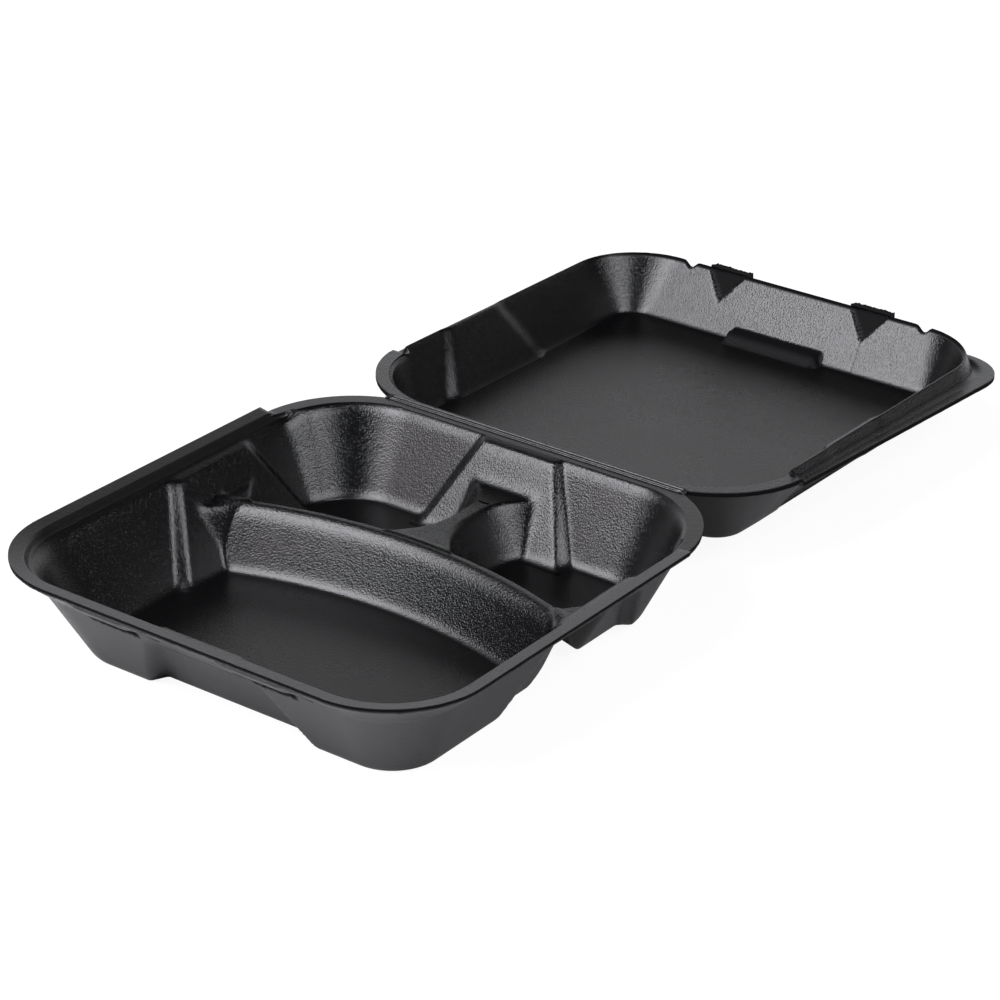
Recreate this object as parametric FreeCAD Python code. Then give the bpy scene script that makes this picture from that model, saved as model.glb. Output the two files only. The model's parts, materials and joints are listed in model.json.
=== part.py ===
import FreeCAD, Part
import math
import os

# Hinged food container with three compartments, pressed from one sheet of black foam and
# shown wide open. X runs across, Y runs back, Z is up from the table. The shapes are drawn
# with Y counted from the front lip, and main() then moves the origin to the middle of the
# flat underside. The hinge line runs along X behind the tray, the open lid lies behind it.
# All lengths are millimetres, all angles degrees.

# Driving sizes of the whole container
overall_width = 235.0
tray_depth = 239.0
tray_height = 48.0
lid_reach = 229.0
sheet_thickness = 2.6
floor_thickness = 3.0
underside_middle = 80.0

# Hinge between tray and lid
hinge_end_gap = 0.6
hinge_face_gap = 0.3
lid_droop_deg = 1.0

# Rim of the tray: lip, shoulder, sloping band and the flange round the rear corners
lip_width = 6.5
lip_edge = 2.0
lip_corner_radius = 45.0
lip_inner_slope_width = 2.0
shoulder_drop = 4.9
lip_end_setback = 48.0
flange_drop = 2.0
flange_setback = 2.9
rear_corner_radius = 54.8
rear_corner_setback = 50.2
band_width = 11.4
band_drop = 11.0

# Walls and floors of the tray
side_foot_inset = 29.2
front_foot_inset = 32.0
rear_foot_inset = 25.7
tray_foot_radius = 21.0
tray_foot_rear_radius = 25.0
rear_floor_rise = 4.2
outer_foot_fillet = 4.0
floor_fillet = 5.0

# Dividers of the tray
divider_height = 30.0
divider_top_width = 3.0
divider_front_slope = 0.62
divider_rear_slope = 0.60
divider_middle = 155.5
divider_side = 141.0
divider_side_x = 83.0
divider_roof = 4.0
middle_divider_half = 4.0
middle_divider_slope = 0.50
junction_half = 19.0
junction_length = 18.5
rear_flare_half = 24.0
rear_flare_setback = 32.0
end_flare_spread = 1.73
end_flare_slope = 0.25

# Pressed-in panel of each wall: half widths at rim and floor, depths at rim and floor
panel_depth_top = 3.0
panel_depth_foot = 5.5
panel_edge = 5.0
end_panel_depth_foot = 7.5
side_panel_half_top = 24.5
side_panel_half_foot = 47.0
end_panel_half_top = 22.0
end_panel_half_foot = 44.0
lid_panel_half_top = 24.0
lid_panel_half_foot = 39.0
lid_panel_depth = 1.5

# Closure: slots with a raised strip in the tray's front, tongues over pockets in the lid
slots = [(-56.5, -19.5), (25.5, 60.5)]
slot_clearance = 0.5
slot_depth = 5.4
strip_inset = 1.5
tongues = [(-54.0, -30.0), (28.0, 52.0)]
tongue_thickness = 2.1
tongue_height = 5.0
pocket_depth = 1.9
pocket_side = 1.2
pocket_tip_drop = 11.5
notches = [-65.0, 70.0]
notch_half = 4.0
notch_drop = 3.0

# Lid: depth, crest, flange and the stop block on its far wall
lid_depth = 28.3
crest_height = 2.6
crest_width = 1.0
crest_draft = 0.44
crest_start = 49.5
crest_corner_radius = 34.0
crest_setback = 0.6
lid_flange_drop = 2.3
lid_flange_far_drop = 8.3
lid_flange_start = 42.0
lid_flange_near_inset = 3.3
lid_flange_far_outset = 1.2
lid_flange_corner_radius = 27.0
near_rim_length = 47.5
lid_side_slope = 0.557
lid_far_slope = 0.60
lid_near_slope = 0.494
lid_floor_inset = 25.5
lid_floor_near = 17.5
lid_floor_far_inset = 18.2
lid_foot_near_radius = 17.0
lid_foot_far_radius = 13.0
lid_rim_near_radius = 44.0
block_span = (-32.0, 23.0)
block_depth = 6.0
block_height = 5.7

half_width = overall_width / 2
lip_length = tray_depth - lip_end_setback
rear_corner_start = tray_depth - rear_corner_setback
rear_flare_start = tray_depth - rear_flare_setback
crest_reach = lid_reach - crest_setback
lid_floor_half = half_width - lid_floor_inset
lid_floor_far = lid_reach - lid_floor_far_inset
lid_flange_near_half = half_width - lid_flange_near_inset
lid_flange_far_half = half_width + lid_flange_far_outset
crease_z = tray_height - band_drop
flange_z = tray_height - flange_drop
side_draft = (side_foot_inset - band_width) / crease_z
front_draft = (front_foot_inset - band_width) / crease_z
face_thickness = sheet_thickness * math.hypot(1, side_draft)
crest_foot = crest_height + lid_flange_far_drop
lid_flange_fall = (lid_flange_far_drop - lid_flange_drop) / (lid_reach - lid_flange_start)
hinge_z = flange_z + hinge_face_gap / 2

# How far cutting blocks run past the part
reach = 40.0


def outline(z, half_x, y_low, y_high, r_low, r_high):
    """Closed rounded rectangle at height z, with its own corner radius at each end."""

    def corner(cx, cy, r, start):
        points = []
        for turn in (0, 45, 90):
            a = math.radians(start + turn)
            points.append(FreeCAD.Vector(cx + r * math.cos(a), cy + r * math.sin(a), z))
        return points

    corners = [corner(half_x - r_low, y_low + r_low, r_low, -90),
               corner(half_x - r_high, y_high - r_high, r_high, 0),
               corner(-half_x + r_high, y_high - r_high, r_high, 90),
               corner(-half_x + r_low, y_low + r_low, r_low, 180)]
    edges = []
    for i, points in enumerate(corners):
        edges.append(Part.Arc(*points).toShape())
        edges.append(Part.makeLine(points[2], corners[(i + 1) % 4][0]))
    return Part.Wire(edges)


def polygon(z, points):
    """Closed polygon at height z through plan points (x, y)."""
    vectors = [FreeCAD.Vector(x, y, z) for x, y in points]
    return Part.makePolygon(vectors + vectors[:1])


def between(*wires):
    """Solid with straight-ruled sides from each outline to the next."""
    return Part.makeLoft(list(wires), True, True)


def block(x0, x1, y0, y1, z0, z1):
    """Box between two corners."""
    return Part.makeBox(x1 - x0, y1 - y0, z1 - z0, FreeCAD.Vector(x0, y0, z0))


def strip_along_x(x0, x1, section):
    """Solid of one section (y, z) in the YZ plane, carried along X."""
    vectors = [FreeCAD.Vector(x0, y, z) for y, z in section]
    face = Part.Face(Part.makePolygon(vectors + vectors[:1]))
    return face.extrude(FreeCAD.Vector(x1 - x0, 0, 0))


def round_low_edges(shape, z, radius):
    """Round every edge that lies in the plane at height z."""
    edges = [e for e in shape.Edges
             if abs(e.BoundBox.ZMin - z) < 0.01 and abs(e.BoundBox.ZMax - z) < 0.01]
    return shape.makeFillet(radius, edges)


def wall_place(z):
    """Outer faces of the tray's walls at height z: half width, front, rear, corner radii."""
    rise = z / crease_z
    front_r = tray_foot_radius + (lip_corner_radius - band_width - tray_foot_radius) * rise
    rear_rim_r = rear_corner_radius - band_width
    rear_r = tray_foot_rear_radius + (rear_rim_r - tray_foot_rear_radius) * rise
    return (half_width - side_foot_inset + side_draft * z,
            front_foot_inset - front_draft * z,
            tray_depth - rear_foot_inset + side_draft * z,
            front_r, rear_r)


def wall_outline(z, inward):
    """Outline of the tray's walls at height z, moved inwards from the outer faces."""
    half_x, front, rear, front_r, rear_r = wall_place(z)
    return outline(z, half_x - inward, front + inward, rear - inward,
                   front_r - inward, rear_r - inward)


def rim_outline(z, inset):
    """Outline parallel to the lip's outer edge."""
    rear = rear_corner_start + rear_corner_radius
    return outline(z, half_width - inset, inset, rear - inset,
                   lip_corner_radius - inset, rear_corner_radius - inset)


def tray_block():
    """The tray as if it were solid: foot, walls, sloping band and lip."""
    def body(foot_z):
        lower = between(wall_outline(foot_z, 0), wall_outline(crease_z, 0))
        lower = round_low_edges(lower, foot_z, outer_foot_fillet)
        edge_z = tray_height - lip_edge
        band = between(wall_outline(crease_z, 0), rim_outline(edge_z, 0))
        lip = between(rim_outline(edge_z, 0), rim_outline(tray_height, 0))
        return lower.fuse([band, lip])

    rear_side = block(-half_width - reach, half_width + reach, divider_side,
                      tray_depth + reach, -1, rear_floor_rise + 2 * outer_foot_fillet)
    solid = body(0).cut(rear_side.cut(body(rear_floor_rise)))
    above = block(-half_width - reach, half_width + reach, lip_length, tray_depth + reach,
                  flange_z, tray_height + 1)
    rim_end = block(-half_width - reach, half_width + reach, lip_length, tray_depth + reach,
                    -1, tray_height + 1)
    kept = between(rim_outline(-2, flange_setback), rim_outline(tray_height + 2, flange_setback))
    behind = block(-half_width - reach, half_width + reach, tray_depth - hinge_end_gap / 2,
                   tray_depth + reach, -1, tray_height + 1)
    return solid.cut([above, rim_end.cut(kept), behind])


def tray_panel(wall, inward, z0, z1):
    """Wedge of a wall's pressed-in panel, measured from the wall moved inwards."""
    outer = -reach / 4

    def section(z):
        half_x, front, rear = wall_place(z)[:3]
        share = z / tray_height
        top, foot, deep = ((side_panel_half_top, side_panel_half_foot, panel_depth_foot)
                           if wall in ("left", "right")
                           else (end_panel_half_top, end_panel_half_foot, end_panel_depth_foot))
        half = foot + (top - foot) * share
        depth = deep + (panel_depth_top - deep) * share
        flat = [(outer, -half), (outer, half), (depth, half - panel_edge), (depth, panel_edge - half)]
        if wall == "right":
            return polygon(z, [(half_x - inward - d, divider_side + w) for d, w in flat])
        if wall == "left":
            return polygon(z, [(-half_x + inward + d, divider_side + w) for d, w in flat])
        if wall == "front":
            return polygon(z, [(w, front + inward + d) for d, w in flat])
        return polygon(z, [(w, rear - inward - d) for d, w in flat])

    return between(section(z0), section(z1))


def divider_radius():
    """Radius of the main divider's ridge in plan, and the Y of its centre."""
    bow = divider_middle - divider_side
    radius = (divider_side_x ** 2 + bow ** 2) / (2 * bow)
    return radius, divider_middle - radius


def ridge_side(z, offset, far_y):
    """Plan area between the ridge's arc, moved back by offset, and a straight line at far_y."""
    radius, centre = divider_radius()
    radius += offset
    span = half_width - lip_width
    side_y = centre + math.sqrt(radius ** 2 - span ** 2)
    a = FreeCAD.Vector(-span, side_y, z)
    b = FreeCAD.Vector(0, centre + radius, z)
    c = FreeCAD.Vector(span, side_y, z)
    d = FreeCAD.Vector(span, far_y, z)
    e = FreeCAD.Vector(-span, far_y, z)
    return Part.Wire([Part.Arc(a, b, c).toShape(), Part.makeLine(c, d), Part.makeLine(d, e),
                      Part.makeLine(e, a)])


def divider_front(z):
    """Offset of the main divider's front face from its ridge at height z."""
    return -divider_top_width / 2 - divider_front_slope * (divider_height - z)


def divider_rear(z):
    """Offset of the main divider's rear face from its ridge at height z."""
    return divider_top_width / 2 + divider_rear_slope * (divider_height - z)


def middle_divider(thinner, z0, z1, y0, y1):
    """Divider between the two rear compartments, thinner by one wall for its underside."""
    def section(z):
        half = middle_divider_half + middle_divider_slope * (divider_height - z) - thinner
        return polygon(z, [(-half, y0), (half, y0), (half, y1), (-half, y1)])

    return between(section(z0), section(z1))


def junction(z0, z1, thinner):
    """Triangle where the middle divider grows out of the main one."""
    def section(z):
        out = middle_divider_slope * (divider_height - z) - thinner
        near = divider_middle - divider_top_width / 3
        nx, ny = junction_length, junction_half - middle_divider_half
        scale = out * math.hypot(nx, ny)
        wide = junction_half + scale / nx
        narrow = middle_divider_half + out
        far = near + junction_length + (scale - nx * out) / ny
        return polygon(z, [(-wide, near), (wide, near), (narrow, far), (-narrow, far)])

    return between(section(z0), section(z1))


def rear_flare(z0, z1, thinner):
    """Widening of the middle divider where it meets the hinge wall."""
    def section(z):
        out = middle_divider_slope * (divider_height - z) - thinner
        far = tray_depth - rear_foot_inset + side_draft * divider_height
        run, spread = far - rear_flare_start, rear_flare_half - middle_divider_half
        scale = out * math.hypot(run, spread)
        narrow = middle_divider_half + out
        near = rear_flare_start - (scale - run * out) / spread
        wide = rear_flare_half + scale / run
        return polygon(z, [(-narrow, near), (narrow, near), (wide, far), (-wide, far)])

    return between(section(z0), section(z1))


def end_flare(side, z0, z1, thinner, x_far):
    """Widening of the main divider where it meets a side wall."""
    def section(z):
        out = end_flare_slope * (divider_height - z) - thinner
        tip = divider_side_x - out * math.hypot(1, end_flare_spread) / end_flare_spread
        wide = (x_far - tip) * end_flare_spread
        return polygon(z, [(side * tip, divider_side), (side * x_far, divider_side + wide),
                           (side * x_far, divider_side - wide)])

    return between(section(z0), section(z1))


def tray_hollow():
    """All the open space inside the tray: three compartments and the room above them."""
    top = tray_height + 1
    rear_floor = rear_floor_rise + floor_thickness

    def walls(floor_z):
        hollow = between(wall_outline(floor_z, face_thickness), wall_outline(top, face_thickness))
        return round_low_edges(hollow, floor_z, floor_fillet)

    panels = [tray_panel(wall, face_thickness, 0, top) for wall in ("left", "right", "front", "rear")]
    half_x = wall_place(divider_height)[0]
    flares = [end_flare(side, 0, divider_height, 0, half_x + 1) for side in (-1, 1)]

    low = floor_thickness - 1
    front = between(ridge_side(low, divider_front(low), -1),
                    ridge_side(divider_height, divider_front(divider_height), -1))
    front_room = walls(floor_thickness).common(front)

    low = rear_floor - 1
    rear = between(ridge_side(low, divider_rear(low), tray_depth),
                   ridge_side(divider_height, divider_rear(divider_height), tray_depth))
    rear_room = walls(rear_floor).common(rear)
    rear_room = rear_room.cut([middle_divider(0, 0, divider_height, divider_side, tray_depth),
                               junction(0, divider_height, 0), rear_flare(0, divider_height, 0)])

    above = block(-half_width, half_width, 0, tray_depth, divider_height, top)
    upper_room = walls(floor_thickness).common(above)
    low_room = front_room.fuse(rear_room).cut(flares)
    return low_room.fuse(upper_room).cut(panels)


def rim_recess():
    """Step inside the lip, down to the shoulder that the closed lid's crest sits over."""
    shoulder_z = tray_height - shoulder_drop
    recess = between(rim_outline(shoulder_z, lip_width + lip_inner_slope_width),
                     rim_outline(tray_height, lip_width),
                     rim_outline(tray_height + 1, lip_width))
    front = block(-half_width, half_width, 0, lip_length, 0, tray_height + 2)
    return recess.common(front)


def under_channels():
    """Room under the dividers, open downwards, so that their walls keep the sheet's thickness."""
    roof = divider_height - divider_roof
    front_wall = sheet_thickness * math.hypot(1, divider_front_slope)
    rear_wall = sheet_thickness * math.hypot(1, divider_rear_slope)
    side_wall = sheet_thickness * math.hypot(1, middle_divider_slope)
    front_part = between(ridge_side(-1, divider_front(-1) + front_wall, tray_depth),
                         ridge_side(roof, divider_front(roof) + front_wall, tray_depth))
    rear_part = between(ridge_side(-1, divider_rear(-1) - rear_wall, 0),
                        ridge_side(roof, divider_rear(roof) - rear_wall, 0))
    main = front_part.common(rear_part)
    flares = [end_flare(side, -1, divider_height - floor_thickness, sheet_thickness,
                        half_width - lip_width) for side in (-1, 1)]
    wall_y = wall_place(0)[2] - face_thickness
    middle = middle_divider(side_wall, -1, roof, divider_middle, wall_y)
    return main.fuse(flares + [middle, junction(-1, roof, side_wall)])


def closure_strip(x0, x1):
    """Strip of the sloping band that stands out over a slot of the closure."""
    edge_z = tray_height - lip_edge
    drop = band_width / 2
    section = [(lip_edge, edge_z + lip_edge / 2), (strip_inset / 4, edge_z),
               (strip_inset / 4, edge_z - lip_edge), (drop, crease_z + lip_edge),
               (drop + lip_edge, crease_z + 2 * lip_edge)]
    return strip_along_x(x0 + strip_inset, x1 - strip_inset, section)


def base_tray():
    """Tray of the container with its three compartments, rim and closure slots."""
    tray = tray_block()
    outer = [tray_panel(wall, 0, -1, crease_z) for wall in ("left", "right", "front")]
    tray = tray.cut(outer + [under_channels(), tray_hollow(), rim_recess()])
    for x0, x1 in slots:
        y0 = lip_width + slot_clearance
        tray = tray.cut(block(x0, x1, y0, y0 + slot_depth, crease_z - 1, tray_height - lip_edge))
        tray = tray.fuse(closure_strip(x0, x1))
    return tray


def lid_wall(h, outward):
    """Outline of the lid's inner wall faces at height h over the hinge plane, moved outwards."""
    rise = h + lid_depth - floor_thickness
    share = rise / (lid_depth - floor_thickness)
    near_r = lid_foot_near_radius + (lid_rim_near_radius - lid_foot_near_radius) * share
    far_r = lid_foot_far_radius + (crest_corner_radius - lid_foot_far_radius) * share
    return outline(h, lid_floor_half + lid_side_slope * rise + outward,
                   lid_floor_near - lid_near_slope * rise - outward,
                   lid_floor_far + lid_far_slope * rise + outward,
                   near_r + outward, far_r + outward)


def lid_flange():
    """Flange outside the crest, wider and lower towards the two far corners."""
    low = -lid_flange_drop - sheet_thickness
    r = lid_flange_corner_radius
    cx, cy = lid_flange_far_half - r, lid_reach - r
    middle = r * math.sqrt(0.5)

    def corner(side):
        points = [(cx + r, cy), (cx + middle, cy + middle), (cx, cy + r)]
        return [FreeCAD.Vector(side * x, y, low) for x, y in points]

    right, left = corner(1), corner(-1)[::-1]
    near_right = FreeCAD.Vector(lid_flange_near_half, lid_flange_start, low)
    near_left = FreeCAD.Vector(-lid_flange_near_half, lid_flange_start, low)
    wire = Part.Wire([Part.makeLine(near_left, near_right), Part.makeLine(near_right, right[0]),
                      Part.Arc(*right).toShape(), Part.makeLine(right[2], left[0]),
                      Part.Arc(*left).toShape(), Part.makeLine(left[2], near_left)])
    plate = Part.Face(wire).extrude(FreeCAD.Vector(0, 0, sheet_thickness))
    plate.rotate(FreeCAD.Vector(0, lid_flange_start, -lid_flange_drop), FreeCAD.Vector(1, 0, 0),
                 -math.degrees(math.atan(lid_flange_fall)))
    return plate


def near_rim():
    """Flat rim of the lid beside the hinge, the mirror image of the tray's flange."""
    inset = flange_setback
    start = tray_depth - rear_corner_start - rear_corner_radius
    plate = between(*[outline(h, half_width - inset, start + inset, lid_reach,
                              rear_corner_radius - inset, crest_corner_radius)
                      for h in (-sheet_thickness, 0)])
    return plate.common(block(-half_width, half_width, hinge_end_gap / 2, near_rim_length,
                              -lid_depth, lid_depth))


def crest_outline(h, inward):
    """Outer face of the crest at height h, moved inwards; its far side stays upright."""
    rise = crest_height + lid_depth - floor_thickness
    half = lid_floor_half + lid_side_slope * rise + crest_width + crest_draft * (crest_height - h)
    return outline(h, half - inward, inward, crest_reach - inward,
                   crest_corner_radius - inward, crest_corner_radius - inward)


def crest():
    """Raised ridge round the lid that sits inside the tray's lip when closed, and its outer
    face down to the flange."""
    ring = between(crest_outline(-crest_foot, 0), crest_outline(crest_height, 0))
    below = FreeCAD.Vector(0, lid_flange_start, -lid_flange_drop - sheet_thickness)
    under = block(-overall_width, overall_width, 0, 2 * lid_reach, -2 * lid_depth, 0)
    under.translate(below)
    under.rotate(below, FreeCAD.Vector(1, 0, 0), -math.degrees(math.atan(lid_flange_fall)))
    beyond = block(-overall_width, overall_width, crest_start, lid_reach + 1,
                   -lid_depth, lid_depth)
    return ring.common(beyond).cut(under)


def crest_channel():
    """Room inside the crest's fold, open downwards between its outer face and the wall."""
    roof = crest_height - 2 * sheet_thickness
    room = between(crest_outline(-crest_foot - 1, sheet_thickness),
                   crest_outline(roof, sheet_thickness))
    wall = between(lid_wall(-crest_foot - 2, face_thickness), lid_wall(roof + 1, face_thickness))
    side = block(-overall_width, overall_width, crest_start + sheet_thickness,
                 lid_floor_far, -lid_depth, lid_depth)
    return room.common(side).cut(wall)


def lid_panel(side, outward, h0, h1):
    """Wedge of a pressed-in panel in a side wall of the lid."""
    centre = tray_depth - divider_side

    def section(h):
        rise = h + lid_depth - floor_thickness
        share = rise / (lid_depth - floor_thickness)
        x = lid_floor_half + lid_side_slope * rise + outward
        half = lid_panel_half_foot + (lid_panel_half_top - lid_panel_half_foot) * share
        depth = lid_panel_depth * (2 - share)
        flat = [(-reach / 4, -half), (-reach / 4, half), (depth, half - panel_edge),
                (depth, panel_edge - half)]
        return polygon(h, [(side * (x - d), centre + w) for d, w in flat])

    return between(section(h0), section(h1))


def far_wall(h):
    """Distance of the lid's far wall from the hinge at height h, on its inner face."""
    return lid_floor_far + lid_far_slope * (h + lid_depth - floor_thickness)


def pocket(x0, x1, grow, s_in, s_out):
    """Three-cornered wedge in the far wall under a tongue, grown by the sheet for its back."""
    middle = (x0 + x1) / 2
    top, tip = crest_height, -pocket_tip_drop - grow

    def triangle(s):
        points = [FreeCAD.Vector(x0 - grow, far_wall(top) + s, top),
                  FreeCAD.Vector(x1 + grow, far_wall(top) + s, top),
                  FreeCAD.Vector(middle, far_wall(tip) + s, tip)]
        return Part.makePolygon(points + points[:1])

    return between(triangle(s_in), triangle(s_out))


def tongue(x0, x1):
    """Upright tongue over a pocket that enters the tray's slot when the lid is closed."""
    front = far_wall(crest_height) + pocket_depth
    return block(x0, x1, front, front + tongue_thickness, -lid_flange_drop, tongue_height)


def notch(x):
    """V cut through the crest and wall at the far side, where the sheet folds."""
    top = crest_height + 1
    near = far_wall(crest_height) - reach / 4
    corners = [(x - notch_half, top), (x + notch_half, top), (x, crest_height - notch_drop)]
    vectors = [FreeCAD.Vector(px, near, h) for px, h in corners]
    face = Part.Face(Part.makePolygon(vectors + vectors[:1]))
    return face.extrude(FreeCAD.Vector(0, reach / 2, 0))


def lid_flat():
    """Lid in the plane of the hinge, measured from the hinge line."""
    foot = -lid_depth
    body = between(lid_wall(foot, face_thickness), lid_wall(-lid_flange_drop, face_thickness))
    body = round_low_edges(body, foot, outer_foot_fillet)
    body = body.fuse([lid_flange(), near_rim(), crest()]).cut(crest_channel())
    body = body.fuse([pocket(x0, x1, pocket_side, 0, pocket_depth + tongue_thickness)
                      for x0, x1 in tongues])
    body = body.fuse([tongue(x0, x1) for x0, x1 in tongues])

    floor_h = floor_thickness - lid_depth
    hollow = between(lid_wall(floor_h, 0), lid_wall(crest_height + 1, 0))
    hollow = round_low_edges(hollow, floor_h, floor_fillet)
    hollow = hollow.cut([lid_panel(side, 0, foot, crest_height + 2) for side in (-1, 1)])
    body = body.cut([hollow] + [pocket(x0, x1, 0, -1, pocket_depth) for x0, x1 in tongues])
    body = body.cut([lid_panel(side, face_thickness, foot - 1, -crest_foot - sheet_thickness)
                     for side in (-1, 1)])
    body = body.cut([notch(x) for x in notches])
    stop = block(block_span[0], block_span[1], lid_floor_far - block_depth / 2,
                 lid_floor_far + block_depth, floor_h - 1, floor_h + block_height)
    return body.fuse(stop)


def lid():
    """Lid laid open behind the tray, drooping a little from the hinge."""
    shape = lid_flat()
    shape.translate(FreeCAD.Vector(0, tray_depth, flange_z))
    shape.rotate(FreeCAD.Vector(0, tray_depth, hinge_z), FreeCAD.Vector(1, 0, 0), -lid_droop_deg)
    return shape


def main():
    os.makedirs("parts", exist_ok=True)
    for name, shape in (("base_tray", base_tray()), ("lid", lid())):
        shape = shape.removeSplitter()
        shape.translate(FreeCAD.Vector(0, -underside_middle, 0))
        print(name, "solids", len(shape.Solids), "valid", shape.isValid(),
              "volume", round(shape.Volume), "box", shape.BoundBox)
        shape.exportStep("parts/" + name + ".step")


main()
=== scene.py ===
import json
import math

import bpy
import numpy as np
from mathutils import Matrix, Vector


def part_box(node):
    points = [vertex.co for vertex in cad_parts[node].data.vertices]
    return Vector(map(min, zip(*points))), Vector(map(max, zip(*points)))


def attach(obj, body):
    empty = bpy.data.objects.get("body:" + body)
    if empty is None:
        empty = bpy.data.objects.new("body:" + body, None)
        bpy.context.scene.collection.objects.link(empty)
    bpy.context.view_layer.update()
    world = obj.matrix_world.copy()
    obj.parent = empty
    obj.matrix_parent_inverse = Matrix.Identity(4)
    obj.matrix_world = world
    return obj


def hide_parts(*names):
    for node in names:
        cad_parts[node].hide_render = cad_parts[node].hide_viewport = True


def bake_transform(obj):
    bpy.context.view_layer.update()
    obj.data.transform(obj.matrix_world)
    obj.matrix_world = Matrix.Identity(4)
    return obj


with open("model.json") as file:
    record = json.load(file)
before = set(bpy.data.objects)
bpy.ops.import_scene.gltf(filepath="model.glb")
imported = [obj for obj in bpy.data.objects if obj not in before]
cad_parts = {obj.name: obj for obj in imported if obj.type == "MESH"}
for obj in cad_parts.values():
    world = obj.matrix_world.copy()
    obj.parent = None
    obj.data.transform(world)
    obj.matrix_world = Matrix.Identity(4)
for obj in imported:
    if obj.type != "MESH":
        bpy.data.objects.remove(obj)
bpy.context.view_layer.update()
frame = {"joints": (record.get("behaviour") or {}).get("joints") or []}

# The open food container, in millimetres, with y counted back from the front lip. The row's own
# origin lies further back, so ORIGIN_Y moves every finished mesh into the frame.
MM = 0.001
ORIGIN_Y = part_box("base_tray")[0][1]
HINGE = next(j for j in frame["joints"] if j["name"] == "lid_hinge")
HINGE_Y = (HINGE["pos_m"][1] - ORIGIN_Y) / MM
HINGE_Z = HINGE["pos_m"][2] / MM

# Tray: rim
HALF = 117.5
TRAY_H = 48.0
FLANGE_Z = 46.0
LIP_WIDTH, LIP_TILT = 6.5, 0.15
LIP_FACE_SLOPE = 2.0
SHOULDER_A, SHOULDER_Z, SHOULDER_SLOPE = 8.5, 43.2, 0.2
FRONT_TIGHTEN, REAR_TIGHTEN = 0.70, 0.95
FRONT_LEAN, REAR_LEAN = 1.14, 1.05
LIP_END_Y, CREST_ROOM = 191.0, 10.0
END_STEP, END_SLOPE = 0.8, 7.0
LIP_CORNER = 45.0
REAR_CORNER = 54.8
REAR_LIMIT = 243.6
FLANGE_SET = 2.9
FLANGE_INNER = 12.2
HINGE_EDGE = HINGE_Y - 0.3
BAND = 11.4
BAND_SLOPE = 0.85

# Tray: walls and floors, each line given by its inset at a height
WALL_FOOT_A, FLOOR_FRONT, WALL_RUN = 30.7, 3.0, 0.48
REAR_FOOT_A, FLOOR_REAR, REAR_RISE = 29.9, 7.2, 2.16
OUTER_FOOT_A = 29.2
SHEET = 2.6
FLOOR_T = 3.0
CORE_A = 39.0

# Roundings between two faces of the tray, as the k of smooth_max and smooth_min
LIP_ROUND, LIP_FOOT_ROUND, SHOULDER_ROUND, CREASE_ROUND = 0.7, 1.0, 5.0, 1.0
FLOOR_ROUND, FLOOR_OUTER_ROUND = 4.5, 3.5
WALL_END_ROUND, WALL_END_OUTER_ROUND = 4.0, 5.0
RIDGE_FRONT_ROUND, RIDGE_REAR_ROUND = 7.0, 2.0
JUNCTION_ROUND, FLARE_ROUND, MID_ROUND, END_ROUND = 8.0, 9.0, 3.0, 4.0
MEETING_ROUND, END_MEETING_ROUND = 2.5, 4.0

# Tray: dividers
RIDGE_Z = 30.0
RIDGE_R = 244.8
RIDGE_CY = 155.5 - RIDGE_R
RIDGE_HALF = 1.5
RIDGE_FRONT_SET, RIDGE_FRONT_RUN = 4.5, 0.48
RIDGE_REAR_RUN = 0.60
MID_HALF, MID_RUN = 4.0, 0.50
JUNCTION_Y, JUNCTION_SPREAD = 173.0, 0.81
FLARE_Y, FLARE_SPREAD = 207.0, 1.05
END_TIP_X, END_Y, END_SPREAD, END_RUN = 82.0, 141.0, 1.4, 0.3
ROOF_Z = 27.0

# Pressed-in panels: depths at rim and foot and width of the sloping edge, then for each panel
# its centre and half width at the rim and its centre and half width at the foot. A panel sets
# in between the two insets of PANEL_START, inside and outside.
PANEL_TOP, SIDE_FOOT, END_FOOT, PANEL_EDGE = 3.0, 5.5, 7.5, 5.0
SIDE_PANEL = (141.0, 24.5, 142.5, 48.5)
END_PANEL = (0.0, 22.0, 0.0, 45.5)
LID_PANEL = (98.0, 24.0, 98.0, 39.0)
PANEL_START, PANEL_START_OUTER = (9.0, 11.5), (12.0, 16.5)
LID_PANEL_TOP, LID_PANEL_FOOT = 1.5, 3.0

# Closure: slots through the shoulder, between two insets from the lip's edge, a torn strip
# standing out of the band along each, and the lid's tongues that pass into the slots
SLOTS = ((-56.5, -19.5), (25.5, 60.5))
SLOT_A = (7.6, 11.6)
STRIPS, STRIP_OUT = ((-58.0, -32.5), (20.0, 50.5)), 0.9
TONGUES = ((-54.0, -30.0), (28.0, 52.0))
TONGUE_S, TONGUE_TOP = (229.1, 231.2), 4.4

# Web of the hinge: half length, reach to both sides of the hinge line, thickness
WEB_HALF, WEB_REACH, WEB_T = 82.0, 1.9, 1.0

# Lid, with s counted back from the hinge line and h up from the hinge plane
DROOP = math.radians(1.0)
LID_FLOOR_H, LID_BOTTOM_H = -25.3, -28.3
LID_FLOOR_X, LID_NEAR_S, LID_FAR_S = 92.0, 17.5, 210.8
LID_SIDE, LID_NEAR, LID_FAR = 0.557, 0.494, 0.60
LID_CORE = (84.0, 27.0, 199.0)
LID_NEAR_R, LID_FAR_R = (17.0, 44.0), (13.0, 34.0)
LID_SHEET, LID_RIM_T = 2.95, 2.4
CREST_H, FLANGE_H = 2.6, -2.3
CREST_START, CREST_RUN = 46.0, 0.44
LID_REACH = 229.0
FLANGE_NEAR_X, FLANGE_FAR_X, FLANGE_CORNER = 114.2, 119.6, 25.0
FLANGE_START, FLANGE_FALL = 42.0, 4.0 / 187.0
BLOCK_X, BLOCK_S, BLOCK_H = (-28.5, 23.0), 206.8, -19.6
POCKETS = ((-43.0, 11.5), (40.0, 11.5))
POCKET_TIP_H, POCKET_DEPTH = -10.6, 2.6
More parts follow.
